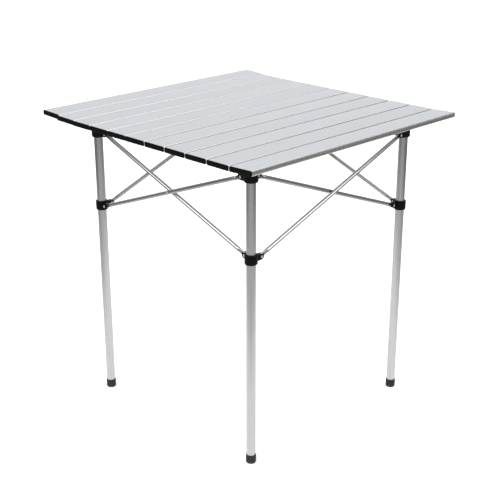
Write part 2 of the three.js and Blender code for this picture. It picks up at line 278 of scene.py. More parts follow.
def turned(name, corners, segments=64, steps=6):
    """A solid of revolution about Z from a closed (radius, height, fillet) outline."""
    outline = filleted(corners, steps)

    def build(work):
        rings = [[(r * math.cos(angle), r * math.sin(angle), z) for r, z in outline]
                 for angle in circle(segments)]
        skin(work, rings, closed=True)
        bmesh.ops.dissolve_degenerate(work, edges=work.edges, dist=MERGE_DISTANCE)

    return mesh_object(name, build)


def prism(name, outline, low, high, place):
    """An outline swept from one depth to another. place turns (u, v, depth) into a point."""
    def build(work):
        skin(work, [[place(u, v, depth) for u, v in outline] for depth in (low, high)])

    return mesh_object(name, build)


def along_x(u, v, depth):
    return (depth, u, v)


def along_y(u, v, depth):
    return (u, depth, v)


def bar(name, radius, start, end, segments=32):
    """A plain round bar between two points, used as a cutter."""
    start, end = Vector(start), Vector(end)
    turn = (end - start).to_track_quat("Z", "Y")

    def build(work):
        ring = [turn @ Vector((radius * math.cos(a), radius * math.sin(a), 0))
                for a in circle(segments)]
        skin(work, [[centre + point for point in ring] for centre in (start, end)])

    return mesh_object(name, build)


def block(name, low, high):
    """A box between two corners, used as a cutter."""
    outline = [(low[0], low[2]), (high[0], low[2]), (high[0], high[2]), (low[0], high[2])]
    return prism(name, outline, low[1], high[1], along_y)


def settle(piece, smooth_angle=32):
    """Applies the piece's modifiers and shades it smooth up to an angle."""
    graph = bpy.context.evaluated_depsgraph_get()
    mesh = bpy.data.meshes.new_from_object(piece.evaluated_get(graph))
    piece.modifiers.clear()
    piece.data = mesh
    mesh.shade_smooth()
    mesh.set_sharp_from_angle(angle=math.radians(smooth_angle))
    return piece


def combine(piece, operation, *others):
    """Joins or cuts a piece with others, which are used up."""
    for other in others:
        step = piece.modifiers.new(operation.lower(), "BOOLEAN")
        step.operation = operation
        step.solver = "EXACT"
        step.object = other
    settle(piece)
    for other in others:
        bpy.data.objects.remove(other)
    return piece


def bevelled(piece, width, segments=3, angle=35):
    """Rounds a piece's edges that are sharper than an angle."""
    step = piece.modifiers.new("bevel", "BEVEL")
    step.width = width
    step.segments = segments
    step.limit_method = "ANGLE"
    step.angle_limit = math.radians(angle)
    return settle(piece)


def finish_piece(piece, body, finish, replaces=()):
    """Gives a piece its material and its body, and hides the CAD nodes that it stands for."""
    piece.data.materials.clear()
    piece.data.materials.append(finish)
    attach(piece, body)
    if replaces:
        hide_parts(*replaces)
    return piece


def copy_of(master, name, matrix):
    """Another object with the same mesh, at its own place."""
    piece = bpy.data.objects.new(name, master.data)
    piece.matrix_world = matrix
    bpy.context.scene.collection.objects.link(piece)
    return piece


# ---- materials ----

def map_range(tree, value, from_low, from_high, to_low, to_high, interpolation="LINEAR"):
    """Maps a range of a value to another range, and holds the ends beyond it."""
    node = tree.nodes.new("ShaderNodeMapRange")
    node.interpolation_type = interpolation
    node.inputs["From Min"].default_value = from_low
    node.inputs["From Max"].default_value = from_high
    node.inputs["To Min"].default_value = to_low
    node.inputs["To Max"].default_value = to_high
    tree.links.new(value, node.inputs["Value"])
    return node.outputs["Result"]


def maths(tree, operation, first, second=0.0):
    """The result of a Math node on two values, each one a number or a socket."""
    node = tree.nodes.new("ShaderNodeMath")
    node.operation = operation
    for socket, value in zip(node.inputs, (first, second)):
        if isinstance(value, (int, float)):
            socket.default_value = value
        else:
            tree.links.new(value, socket)
    return node.outputs["Value"]


def mix_colours(tree, factor, first, second):
    """Mixes two colours, each one a tuple or a socket, by a factor from a socket."""
    node = tree.nodes.new("ShaderNodeMix")
    node.data_type = "RGBA"
    for index, value in ((COLOUR_A, first), (COLOUR_B, second)):
        if isinstance(value, tuple):
            node.inputs[index].default_value = (*value, 1)
        else:
            tree.links.new(value, node.inputs[index])
    tree.links.new(factor, node.inputs["Factor"])
    return node.outputs[COLOUR_RESULT]


class Finish:
    """A procedural material on one Principled shader, in the piece's own coordinates."""

    def __init__(self, name, **sockets):
        self.material = bpy.data.materials.new(name)
        self.material.use_nodes = True
        self.tree = self.material.node_tree
        self.nodes = self.tree.nodes
        self.links = self.tree.links
        self.shader = self.nodes["Principled BSDF"]
        for socket, value in sockets.items():
            self.shader.inputs[socket.replace("_", " ")].default_value = value
        self.coordinates = self.nodes.new("ShaderNodeTexCoord").outputs["Object"]

    def noise(self, scale, detail=4.0, roughness=0.55, offset=(0, 0, 0)):
        """Noise with a scale for each axis, in waves per metre."""
        mapping = self.nodes.new("ShaderNodeMapping")
        mapping.inputs["Scale"].default_value = scale
        mapping.inputs["Location"].default_value = offset
        self.links.new(self.coordinates, mapping.inputs["Vector"])
        texture = self.nodes.new("ShaderNodeTexNoise")
        texture.inputs["Scale"].default_value = 1.0
        texture.inputs["Detail"].default_value = detail
        texture.inputs["Roughness"].default_value = roughness
        self.links.new(mapping.outputs["Vector"], texture.inputs["Vector"])
        return texture.outputs["Fac"]

    def spread(self, value, *ranges):
        """Maps a range of a value to another range, given as four numbers."""
        return map_range(self.tree, value, *ranges)

    def maths(self, operation, *values):
        return maths(self.tree, operation, *values)

    def product(self, first, *others):
        for other in others:
            first = self.maths("MULTIPLY", first, other)
        return first

    def mix(self, factor, first, second):
        return mix_colours(self.tree, factor, first, second)

    def axis(self, letter):
        node = self.nodes.new("ShaderNodeSeparateXYZ")
        self.links.new(self.coordinates, node.inputs["Vector"])
        return node.outputs[letter]

    def attribute(self, name):
        node = self.nodes.new("ShaderNodeAttribute")
        node.attribute_name = name
        return node.outputs["Fac"]

    def bump(self, height, strength, distance, below=None):
        node = self.nodes.new("ShaderNodeBump")
        node.inputs["Strength"].default_value = strength
        node.inputs["Distance"].default_value = distance
        self.links.new(height, node.inputs["Height"])
        if below is not None:
            self.links.new(below, node.inputs["Normal"])
        return node.outputs["Normal"]

    def wire(self, socket, value):
        self.links.new(value, self.shader.inputs[socket])


def slat_finish():
    """Satin anodised aluminium with extrusion lines along the slat, with painted shade and painted
    highlight in the seams between the slats.
    """
    finish = Finish("slat_aluminium", Metallic=1.0, Roughness=0.4)
    pale, deep = (0.75, 0.775, 0.79), (0.61, 0.635, 0.655)
    banded, clouded, toned = (0.73, 0.75, 0.775), (0.66, 0.655, 0.71), (0.56, 0.575, 0.61)
    # lighter wear that also paints a highlight, the dull outer side, and painted shade for the
    # seams
    scratched, dulled, painted_seam_shade = (0.80, 0.81, 0.82), (0.88, 0.88, 0.87), (0.23, 0.23, 0.227)
    # a painted highlight for the gaps at the slats' ends
    painted_gap_highlight = (0.92, 0.92, 0.91)
    along = finish.maths("ABSOLUTE", finish.axis("X"))
    across = finish.maths("ABSOLUTE", finish.axis("Y"))
    depth = finish.axis("Z")
    facing_slat = finish.attribute("facing_slat")

    lines = finish.noise((3, 700, 700), detail=5)
    bands = finish.noise((1.2, 60, 60), detail=2, offset=(3, 1, 2))
    cloud = finish.noise((5, 9, 9), detail=3, offset=(7, 5, 1))
    grain = finish.noise((1800, 2600, 2600), detail=2)
    colour = finish.mix(finish.spread(lines, *NOISE, 0, 1), deep, pale)
    colour = finish.mix(finish.spread(bands, 0.35, 0.65, 0, 0.35), colour, banded)
    colour = finish.mix(finish.spread(cloud, 0.35, 0.7, 0, 0.5), colour, clouded)
    colour = finish.mix(finish.attribute("tone"), colour, toned)
    # lighter handling marks on the rounded long edges, which also paint a highlight along the seams
    edge = finish.spread(across, *EDGE_ACROSS, 0, 1)
    rub = finish.noise((160, 300, 300), detail=5, offset=(2, 9, 4))
    wear_and_sheen = finish.product(edge, finish.spread(rub, 0.5, 0.62, 0, 0.8))
    colour = finish.mix(wear_and_sheen, colour, scratched)
    # the outermost long sides are dull; the others get painted shade below their rounding, where
    # they face the next slat across the gap
    side = finish.spread(edge, 0.5, 1, 0, 1)
    outside = finish.maths("SUBTRACT", 1.0, facing_slat)
    dull = finish.product(finish.spread(depth, *DULL_TOP, 1, 0), side, outside)
    colour = finish.mix(dull, colour, dulled)
    dark = finish.product(finish.spread(depth, *SEAM_SHADE_TOP, 1, 0),
                          finish.spread(depth, *SEAM_SHADE_BOTTOM, 0, 1), side, facing_slat,
                          finish.spread(rub, 0.35, 0.6, 0.75, 1))
    colour = finish.mix(dark, colour, painted_seam_shade)
    # painted highlight: the last few millimetres of the walls between the slats are whitish and not
    # metallic, to brighten the gaps at the slats' ends
    gap_highlight_mask = finish.product(finish.spread(along, *GAP_HIGHLIGHT_ALONG, 0, 1), side, facing_slat)
    finish.wire("Metallic", finish.maths("SUBTRACT", 1.0, gap_highlight_mask))
    finish.wire("Base Color", finish.mix(gap_highlight_mask, colour, painted_gap_highlight))
    # the roundings are polished by rubbing, and the upright walls between the slats are left rough
    roughness = finish.spread(lines, *NOISE, 0.36, 0.46)
    roughness = finish.maths("SUBTRACT", roughness, finish.maths("MULTIPLY", wear_and_sheen, 0.06))
    polish = finish.spread(across, *POLISH_ACROSS, 0, 1)
    rough_wall = finish.spread(facing_slat, 0, 1, -0.12, 0.12)
    below = finish.spread(depth, *ROUGH_TOP, 1, 0)
    change = finish.maths("ADD", finish.product(below, rough_wall),
                          finish.spread(below, 0, 1, -0.15, 0))
    roughness = finish.maths("ADD", roughness, finish.product(polish, change))
    finish.wire("Roughness", roughness)
    fine = finish.bump(lines, 0.16, 0.05 * MM)
    finish.wire("Normal", finish.bump(grain, 0.10, 0.03 * MM, below=fine))
    return finish.material


def tube_finish(name, pale, deep, axis, roughness):
    """Drawn aluminium tube: fine lines along its axis, faint clouding and small scuffs."""
    finish = Finish(name, Metallic=1.0, Roughness=roughness)
    fine, slow = 900, 4
    scratched = tuple(0.55 * value for value in deep)
    lines = finish.noise({"X": (slow, fine, fine), "Z": (fine, fine, slow)}[axis])
    cloud = finish.noise((30, 30, 30), detail=3, offset=(4, 2, 8))
    grain = finish.noise((2400, 2400, 2400), detail=2)
    scuff = finish.noise((260, 260, 260), detail=6, roughness=0.7, offset=(1, 6, 3))
    colour = finish.mix(finish.spread(lines, *NOISE, 0, 1), deep, pale)
    colour = finish.mix(finish.spread(cloud, 0.4, 0.7, 0, 0.25), colour, deep)
    marks = finish.spread(scuff, 0.66, 0.74, 0, 0.5)
    finish.wire("Base Color", finish.mix(marks, colour, scratched))
    worn = finish.spread(lines, *NOISE, roughness - 0.05, roughness + 0.05)
    finish.wire("Roughness", finish.maths("ADD", worn, finish.maths("MULTIPLY", marks, 0.2)))
    drawn = finish.bump(lines, 0.12, 0.04 * MM)
    finish.wire("Normal", finish.bump(grain, 0.08, 0.02 * MM, below=drawn))
    return finish.material


def plastic_finish(name, base, roughness, texture):
    """Moulded black plastic with a fine spark-eroded texture and pale scuffs."""
    finish = Finish(name, Roughness=roughness, Specular_IOR_Level=0.1)
    scratched = (0.05, 0.05, 0.05)
    leather = finish.noise((texture, texture, texture), detail=3)
    cloud = finish.noise((45, 45, 45), detail=3, offset=(5, 2, 2))
    scuff = finish.noise((420, 420, 420), detail=6, roughness=0.72, offset=(3, 3, 8))
    pale = tuple(2.1 * value for value in base)
    colour = finish.mix(finish.spread(cloud, 0.35, 0.7, 0, 0.7), base, pale)
    marks = finish.spread(scuff, 0.64, 0.74, 0, 0.2)
    finish.wire("Base Color", finish.mix(marks, colour, scratched))
    worn = finish.spread(leather, *NOISE, roughness - 0.07, roughness + 0.07)
    finish.wire("Roughness", finish.maths("ADD", worn, finish.maths("MULTIPLY", marks, 0.3)))
    finish.wire("Normal", finish.bump(leather, 0.25, 0.06 * MM))
    return finish.material


def rubber_finish():
    """Matt black rubber that has picked up a little dust towards the sole."""
    finish = Finish("foot_rubber", Roughness=0.75)
    deep, pale, dusty = (0.012, 0.012, 0.015), (0.026, 0.026, 0.03), (0.10, 0.095, 0.09)
    grain = finish.noise((1500, 1500, 1500))
    cloud = finish.noise((90, 90, 90), offset=(2, 7, 3))
    dust = finish.product(finish.spread(finish.axis("Z"), *DUST_HEIGHT, 0.55, 0),
                          finish.spread(cloud, 0.4, 0.65, 0, 1))
    colour = finish.mix(finish.spread(cloud, 0.35, 0.7, 0, 1), deep, pale)
    finish.wire("Base Color", finish.mix(dust, colour, dusty))
    finish.wire("Roughness", finish.spread(grain, *NOISE, 0.66, 0.86))
    finish.wire("Normal", finish.bump(grain, 0.4, 0.1 * MM))
    return finish.material


def rivet_finish():
    """Bright zinc-plated rivets with fine turning marks."""
    finish = Finish("rivet_steel", Metallic=1.0, Roughness=0.28)
    deep, pale = (0.60, 0.59, 0.57), (0.80, 0.80, 0.79)
    grain = finish.noise((900, 900, 900))
    cloud = finish.noise((300, 300, 300), detail=3, offset=(5, 1, 1))
    finish.wire("Base Color", finish.mix(finish.spread(cloud, 0.35, 0.65, 0, 1), deep, pale))
    finish.wire("Roughness", finish.spread(grain, *NOISE, 0.22, 0.36))
    finish.wire("Normal", finish.bump(grain, 0.2, 0.05 * MM))
    return finish.material


def cord_finish():
    """Braided black elastic: two crossed sets of strands with lighter flecks."""
    finish = Finish("elastic_braid", Roughness=0.8)
    deep, pale, flecked = (0.008, 0.008, 0.009), (0.03, 0.03, 0.032), (0.16, 0.16, 0.165)
    strands = []
    for lean in (1, -1):
        node = finish.nodes.new("ShaderNodeTexWave")
        mapping = finish.nodes.new("ShaderNodeMapping")
        mapping.inputs["Rotation"].default_value = (0, 0, lean * math.radians(STRAND_LEAN))
        finish.links.new(finish.coordinates, mapping.inputs["Vector"])
        finish.links.new(mapping.outputs["Vector"], node.inputs["Vector"])
        node.inputs["Scale"].default_value = STRAND_SCALE
        strands.append(node.outputs["Fac"])
    weave = finish.maths("MAXIMUM", *strands)
    fleck = finish.noise((1200, 1200, 1200), detail=3)
    colour = finish.mix(weave, deep, pale)
    colour = finish.mix(finish.spread(fleck, 0.62, 0.7, 0, 0.6), colour, flecked)
    finish.wire("Base Color", colour)
    finish.wire("Roughness", finish.spread(fleck, *NOISE, 0.7, 0.9))
    finish.wire("Normal", finish.bump(weave, 0.6, 0.2 * MM))
    return finish.material


FINISHES = {
    "slat": slat_finish(),
    "leg": tube_finish("leg_tube", (0.76, 0.755, 0.745), (0.635, 0.63, 0.62), "Z", 0.27),
    "brace": tube_finish("brace_tube", (0.53, 0.525, 0.517), (0.42, 0.415, 0.407), "X", 0.17),
    "cap": plastic_finish("cap_plastic", (0.0030, 0.0030, 0.0034), 0.36, 900),
    "fitting": plastic_finish("fitting_plastic", (0.0030, 0.0029, 0.0028), 0.42, 1100),
    "rubber": rubber_finish(),
    "rivet": rivet_finish(),
    "cord": cord_finish(),
}


# ---- roll-up top ----

def slat_section(low, high, inset, radius):
    """The rounded section of a slat, about its own middle, with its top face at zero."""
    half = (high.y - low.y) / 2 - inset
    bottom = low.z - high.z + inset
    radius = max(radius - inset, SMALLEST_RADIUS)
    return filleted([(-half, bottom, radius), (half, bottom, radius),
                     (half, -inset, radius), (-half, -inset, radius)])


def hollow_prism(name, outer, inner, start, end):
    """A tube along X between two outlines with the same number of points."""
    def build(work):
        rings = [[along_x(u, v, x) for u, v in outline]
                 for outline, x in ((outer, start), (outer, end), (inner, end), (inner, start))]
        skin(work, rings, closed=True)

    return mesh_object(name, build)


def slat_origin(number):
    """The middle of a slat's top face."""
    low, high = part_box(f"slat_{number:02d}")
    return Vector((0, (low.y + high.y) / 2, high.z))


def gap_middle(number):
    """The middle of the gap between a slat and the next one, and the gap's width."""
    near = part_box(f"slat_{number:02d}")[0].y
    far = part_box(f"slat_{number + 1:02d}")[1].y
    return (near + far) / 2, near - far


def rest_matrix(number):
    """Where a slat and its caps lie at rest: slid along X, then bent up with its neighbours."""
    place = Matrix.Translation((REST_SLIDE.get(number, 0), 0, 0))
    middle = (SLAT_COUNT + 1) // 2
    if number < middle:
        outward, hinges = 1, range(number, middle)
    else:
        outward, hinges = -1, range(number - 1, middle - 1, -1)
    for hinge in hinges:
        line = Vector((0, gap_middle(hinge)[0], slat_origin(number).z))
        turn = Matrix.Rotation(outward * math.radians(REST_BEND.get(hinge, 0)), 4, "X")
        place = Matrix.Translation(line) @ turn @ Matrix.Translation(-line) @ place
    return place


def make_slat(number):
    """A hollow slat with its cord holes, and with stud sockets where it lies on two legs."""
    name = f"slat_{number:02d}"
    low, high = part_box(name)
    origin = slat_origin(number)
    slide = REST_SLIDE.get(number, 0)
    outer = slat_section(low, high, 0, SLAT_RADIUS)
    inner = slat_section(low, high, SLAT_WALL, SLAT_RADIUS)
    piece = hollow_prism(f"{name}_extrusion", outer, inner, low.x, high.x)

    cutters = []
    for leg in SOCKET_SLATS.get(number, ()):
        at = centre_of(leg) - origin
        at.x -= slide
        floor = low.z - high.z
        cutters.append(bar("socket_cutter", SOCKET_RADIUS, (at.x, at.y, floor - SLAT_WALL),
                           (at.x, at.y, floor + 2 * SLAT_WALL), segments=48))
    for side in (-1, 1):
        walls = []
        if number > 1:
            walls.append(high.y - origin.y)
        if number < SLAT_COUNT:
            walls.append(low.y - origin.y)
        for y in walls:
            x = side * CORD_X - slide
            cutters.append(bar("cord_cutter", CORD_HOLE_RADIUS,
                               (x, y - CORD_HOLE_REACH, -CORD_DROP),
                               (x, y + CORD_HOLE_REACH, -CORD_DROP)))
    combine(piece, "DIFFERENCE", *cutters)

    tone = piece.data.attributes.new("tone", "FLOAT", "POINT")
    shade = random.uniform(0.0, 0.28)
    tone.data.foreach_set("value", [shade] * len(piece.data.vertices))
    # 1 on the long sides that face another slat, where the finish paints shade and highlight in the
    # seams
    facing_slat = piece.data.attributes.new("facing_slat", "FLOAT", "POINT")
    free_side = {1: 1, SLAT_COUNT: -1}.get(number, 0)
    values = [float(vertex.co.y * free_side <= 0) for vertex in piece.data.vertices]
    facing_slat.data.foreach_set("value", values)
    piece.matrix_world = rest_matrix(number) @ Matrix.Translation(origin)
    finish_piece(piece, name, FINISHES["slat"], [name])


def make_cap_master():
    """The cap of a slat's -X end, about the slat's own origin, with its face at X = 0."""
    low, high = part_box("slat_01")
    plate = slat_section(low, high, 0, CAP_CORNER_RADIUS)
    core = prism("end_cap", plate, 0, CAP_PLATE, along_x)
    bevelled(core, CAP_BEVEL)
    inset = SLAT_WALL + CLEARANCE
    outer = slat_section(low, high, inset, SLAT_RADIUS)
    inner = slat_section(low, high, inset + PLUG_WALL, SLAT_RADIUS)
    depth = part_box("end_cap_left_01")[1].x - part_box("end_cap_left_01")[0].x
    plug = hollow_prism("plug", outer, inner, CAP_PLATE / 2, depth)
    return combine(core, "UNION", plug)


def make_caps(master, number):
    """The caps in both ends of a slat."""
    origin = slat_origin(number)
    body = f"slat_{number:02d}"
    for side, turn in (("left", 0), ("right", math.pi)):
        node = f"end_cap_{side}_{number:02d}"
        low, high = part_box(node)
        face = low.x if side == "left" else high.x
        place = Matrix.Translation((face, origin.y, origin.z)) @ Matrix.Rotation(turn, 4, "Z")
        piece = copy_of(master, f"{node}_moulding", rest_matrix(number) @ place)
        finish_piece(piece, body, FINISHES["cap"], [node])


def make_cord(number, side):
    """The stretch of one elastic cord between a slat and the next, straight across their gap."""
    middle, gap = gap_middle(number)
    top = slat_origin(number).z
    half = gap / 2
    inside = [half + CORD_INSIDE * (1 - k / CORD_INSIDE_STEPS) for k in range(CORD_INSIDE_STEPS)]
    across = [half * (1 - 2 * k / CORD_GAP_STEPS) for k in range(CORD_GAP_STEPS + 1)]
    stations = inside + across + [-value for value in reversed(inside)]

    def build(work):
        ring = [(side * CORD_X + CORD_RADIUS * math.cos(angle),
                 top - CORD_DROP + CORD_RADIUS * math.sin(angle)) for angle in circle(CORD_SIDES)]
        skin(work, [[(x, middle + offset, z) for x, z in ring] for offset in stations])

    which = "left" if side < 0 else "right"
    piece = mesh_object(f"elastic_{which}_{number:02d}_{number + 1:02d}", build)
    settle(piece)
    piece.data.materials.append(FINISHES["cord"])
    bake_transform(piece)


# ---- frame pieces, made about a leg's own axis ----

def make_leg(turns, name):
    """A leg's tube, open at both ends."""
    low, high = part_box(f"leg_{name}")
    inside = LEG_RADIUS - LEG_WALL
    edge = TUBE_EDGE_RADIUS
    piece = turned(f"leg_{name}_tube", [(inside, low.z, edge), (LEG_RADIUS, low.z, edge),
                                        (LEG_RADIUS, high.z, edge), (inside, high.z, edge)])
    settle(piece)
    piece.matrix_world = upright_matrix(turns)
    finish_piece(piece, f"leg_{name}", FINISHES["leg"], [f"leg_{name}"])


def make_foot_master():
    """The rubber foot: a cup on the leg's end with a narrower sole and a groove below its lip."""
    low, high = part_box("foot_front")
    radius = (high.x - low.x) / 2
    bore = LEG_RADIUS + CLEARANCE
    tread = radius - FOOT_TREAD_INSET
    groove = radius - FOOT_GROOVE_DEPTH
    lip = high.z - FOOT_LIP
    piece = turned("foot", [
        (0, 0, 0), (tread, 0, 1 * MM), (radius, FOOT_TREAD_HEIGHT, 2.2 * MM),
        (radius, lip - 1 * MM, 0.4 * MM), (groove, lip - 0.5 * MM, 0.2 * MM),
        (groove, lip, 0.2 * MM), (radius, lip + 0.5 * MM, 0.4 * MM),
        (radius, high.z, 0.6 * MM), (bore, high.z, 0.3 * MM), (bore, FOOT_SOLE, 0),
        (0, FOOT_SOLE, 0),
    ], steps=4)
    return settle(piece)


def lug_outline():
    """A lug's side, from inside the leg's wall to past the pin, at the pin's height."""
    root = LEG_RADIUS - LUG_ROOT
    tip = PIN_REACH + LUG_RADIUS
    nose = LUG_RADIUS - 0.01 * MM  # less than the radius by a hair, so that the two arcs don't meet
    return filleted([(root, -LUG_RADIUS, 0), (tip, -LUG_RADIUS, nose),
                     (tip, LUG_RISE, LUG_CHAMFER), (root, LUG_RISE, 0)], steps=10)


def add_lugs(piece, shift, height):
    """Joins two clevis lugs to a cup or collar, along +X and along +Y, and cuts their slots."""
    web_end = PIN_REACH - BRACE_RADIUS - RUNNING_GAP
    far = PIN_REACH + 2 * LUG_RADIUS
    lugs, slots = [], []
    for turn in (0, math.pi / 2):
        place = Matrix.Translation((0, 0, height)) @ Matrix.Rotation(turn, 4, "Z")
        lug = prism("lug", lug_outline(), shift - LUG_HALF, shift + LUG_HALF, along_y)
        slot = block("slot", (web_end, shift - SLOT_HALF, -far), (far, shift + SLOT_HALF, far))
        lug.data.transform(place)
        slot.data.transform(place)
        lugs.append(lug)
        slots.append(slot)
    combine(piece, "UNION", *lugs)
    return combine(piece, "DIFFERENCE", *slots)


def make_cup_master():
    """The top fitting: a cup over the leg's end, two lugs and the stud that plugs into a slat."""
    low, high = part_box("top_fitting_front")
    bottom = low.z
    rim = high.z - STUD_HEIGHT
    piece = turned("cup", [
        (0, bottom, 0), (CUP_RADIUS, bottom, CUP_EDGE_RADIUS), (CUP_RADIUS, rim, RIM_RADIUS),
        (STUD_BASE_RADIUS, rim, STUD_FOOT_FILLET), (STUD_TIP_RADIUS, high.z, STUD_TIP_FILLET),
        (0, high.z, 0),
    ])
    add_lugs(piece, BRACE_SHIFT, UPPER_PIN)
    bore = bar("bore", LEG_RADIUS + CLEARANCE, (0, 0, bottom - CUT_MARGIN), (0, 0, LEG_TOP),
               segments=64)
    combine(piece, "DIFFERENCE", bore)
    return bevelled(piece, MOULDING_BEVEL)


def make_collar_master():
    """The sliding collar: a sleeve on the leg with two lugs."""
    low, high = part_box("collar_front")
    piece = turned("collar", [
        (0, low.z, 0), (COLLAR_RADIUS, low.z, COLLAR_EDGE_RADIUS),
        (COLLAR_RADIUS, high.z, RIM_RADIUS), (0, high.z, 0),
    ])
    add_lugs(piece, -BRACE_SHIFT, LOWER_PIN)
    bore = bar("bore", LEG_RADIUS + RUNNING_GAP, (0, 0, low.z - CUT_MARGIN),
               (0, 0, high.z + CUT_MARGIN), segments=64)
    combine(piece, "DIFFERENCE", bore)
    return bevelled(piece, MOULDING_BEVEL)


def make_rivet_master(name, grip):
    """A domed rivet along Z, about the middle of the stack that it holds."""
    half = grip / 2
    dome = [(RIVET_HEAD_RADIUS * math.cos(a), RIVET_HEAD_HEIGHT * math.sin(a)) for a in quarter()]
    upper = [(r, half + h) for r, h in dome]
    lower = [(r, -half - h) for r, h in reversed(dome)]
    outline = lower + [(PIN_RADIUS, -half), (PIN_RADIUS, half)] + upper
    return settle(turned(name, [(max(r, 0), z, 0) for r, z in outline], segments=32))


def rivet_places(turns, height, shift):
    """The two pins of a fitting or collar: each matrix turns a rivet's Z onto the pin's axis."""
    base = upright_matrix(turns) @ Matrix.Translation((0, 0, height))
    across_y = Matrix.Translation((PIN_REACH, shift, 0)) @ Matrix.Rotation(math.pi / 2, 4, "X")
    across_x = Matrix.Translation((-shift, PIN_REACH, 0)) @ Matrix.Rotation(math.pi / 2, 4, "Y")
    return base @ across_y, base @ across_x


# ---- braces, made along +X from one pin to the other ----

def brace_ring(x):
    """The section of a brace at a distance from its first pin: round, and flat at both pins."""
    end = min(x, BRACE_LENGTH - x)
    share = max(0.0, min(1.0, (end - TANG_LENGTH) / TAPER_LENGTH))
    share = share * share * (3 - 2 * share)  # how round it is: 0 at the flat ends, 1 between them
    half_width = TANG_HALF + (BRACE_RADIUS - TANG_HALF) * share
    half_height = BRACE_RADIUS
    if end < 0:
        half_height = math.sqrt(max(BRACE_RADIUS ** 2 - end ** 2, BRACE_TIP_HALF ** 2))
    power_y, power_z = (power + (1 - power) * share for power in TANG_POWERS)
    ring = []
    for angle in circle(BRACE_SIDES):
        c, s = math.cos(angle), math.sin(angle)
        ring.append((x, half_width * math.copysign(abs(c) ** power_y, c),
                     half_height * math.copysign(abs(s) ** power_z, s)))
    return ring


def make_brace_master(name):
    """A brace tube with flattened, slit ends and holes for its three pins."""
    ends = [-BRACE_RADIUS * math.cos(angle) for angle in quarter()]
    taper = [TANG_LENGTH + TAPER_LENGTH * k / TAPER_STEPS for k in range(TAPER_STEPS + 1)]
    first = ends + [TANG_LENGTH * 0.5] + taper
    stations = first + [BRACE_LENGTH / 2] + [BRACE_LENGTH - x for x in reversed(first)]

    def build(work):
        skin(work, [brace_ring(x) for x in stations])

    piece = mesh_object(name, build)
    cutters = []
    for x in (0, BRACE_LENGTH / 2, BRACE_LENGTH):
        cutters.append(bar("pin_cutter", PIN_RADIUS + PIN_PLAY,
                           (x, -CUT_MARGIN, 0), (x, CUT_MARGIN, 0)))
    far = 2 * BRACE_RADIUS
    for low, high in ((-far, TANG_LENGTH), (BRACE_LENGTH - TANG_LENGTH, BRACE_LENGTH + far)):
        cutters.append(block("slit_cutter", (low, -SLIT_HALF, -SLIT_RISE),
                             (high, SLIT_HALF, SLIT_RISE)))
    combine(piece, "DIFFERENCE", *cutters)
    return settle(piece, smooth_angle=40)


def brace_matrices(turns):
    """Places of a side's outer brace, which starts at this corner's cup, and its inner brace."""
    y = -HALF_SPACING + PIN_REACH
    onto_y = Matrix.Rotation(math.pi / 2, 4, "Z")
    outer = Matrix.Translation((-HALF_SPACING - BRACE_SHIFT, y, UPPER_PIN)) @ onto_y \
        @ Matrix.Rotation(BRACE_ANGLE, 4, "Y")
    inner = Matrix.Translation((-HALF_SPACING + BRACE_SHIFT, y, LOWER_PIN)) @ onto_y \
        @ Matrix.Rotation(-BRACE_ANGLE, 4, "Y")
    return corner_matrix(turns) @ outer, corner_matrix(turns) @ inner


def make_washer_master():
    """The thin nylon washer between the two braces of a crossing, along Z."""
    half = BRACE_SHIFT - BRACE_RADIUS - WASHER_PLAY / 2
    bore = PIN_RADIUS + WASHER_PLAY
    edge = WASHER_EDGE_RADIUS
    return settle(turned("washer", [(bore, -half, edge), (WASHER_RADIUS, -half, edge),
                                    (WASHER_RADIUS, half, edge), (bore, half, edge)], segments=40))


def make_frame():
    """The legs with their fittings, collars, feet and rivets, and the brace pairs between them."""
    foot = make_foot_master()
    cup = make_cup_master()
    collar = make_collar_master()
    brace = make_brace_master("brace")
    lug_rivet = make_rivet_master("lug_rivet", 2 * LUG_HALF)
    cross_rivet = make_rivet_master("cross_rivet", 2 * (BRACE_SHIFT + BRACE_RADIUS))
    washer = make_washer_master()

    for turns, name in enumerate(CORNERS):
        leg_body, collar_body = f"leg_{name}", f"collar_{name}"
        upright = upright_matrix(turns)
        make_leg(turns, name)
        finish_piece(copy_of(foot, f"foot_{name}_rubber", upright), leg_body,
                     FINISHES["rubber"], [f"foot_{name}"])
        finish_piece(copy_of(cup, f"top_fitting_{name}_moulding", upright), leg_body,
                     FINISHES["fitting"], [f"top_fitting_{name}"])
        finish_piece(copy_of(collar, f"collar_{name}_moulding", upright), collar_body,
                     FINISHES["fitting"], [f"collar_{name}"])
        pins = [(leg_body, "top_fitting", UPPER_PIN, BRACE_SHIFT),
                (collar_body, "collar", LOWER_PIN, -BRACE_SHIFT)]
        for body, kind, height, shift in pins:
            for which, place in zip(("a", "b"), rivet_places(turns, height, shift)):
                rivet = copy_of(lug_rivet, f"{kind}_{name}_rivet_{which}", place)
                finish_piece(rivet, body, FINISHES["rivet"])

    for turns, side in enumerate(SIDES):
        outer_place, inner_place = brace_matrices(turns)
        for layer, place in (("outer", outer_place), ("inner", inner_place)):
            node = f"brace_{layer}_{side}"
            finish_piece(copy_of(brace, f"{node}_tube", place), node,
                         FINISHES["brace"], [node])
        crossing = Matrix.Translation((-HALF_SPACING, 0, (UPPER_PIN + LOWER_PIN) / 2))
        crossing = corner_matrix(turns) @ crossing @ Matrix.Rotation(math.pi / 2, 4, "Y")
        body = f"brace_outer_{side}"
        finish_piece(copy_of(cross_rivet, f"crossing_{side}_rivet", crossing), body,
                     FINISHES["rivet"])
        finish_piece(copy_of(washer, f"crossing_{side}_washer", crossing), body,
                     FINISHES["cap"])

    for master in (foot, cup, collar, brace, lug_rivet, cross_rivet, washer):
        bpy.data.objects.remove(master)


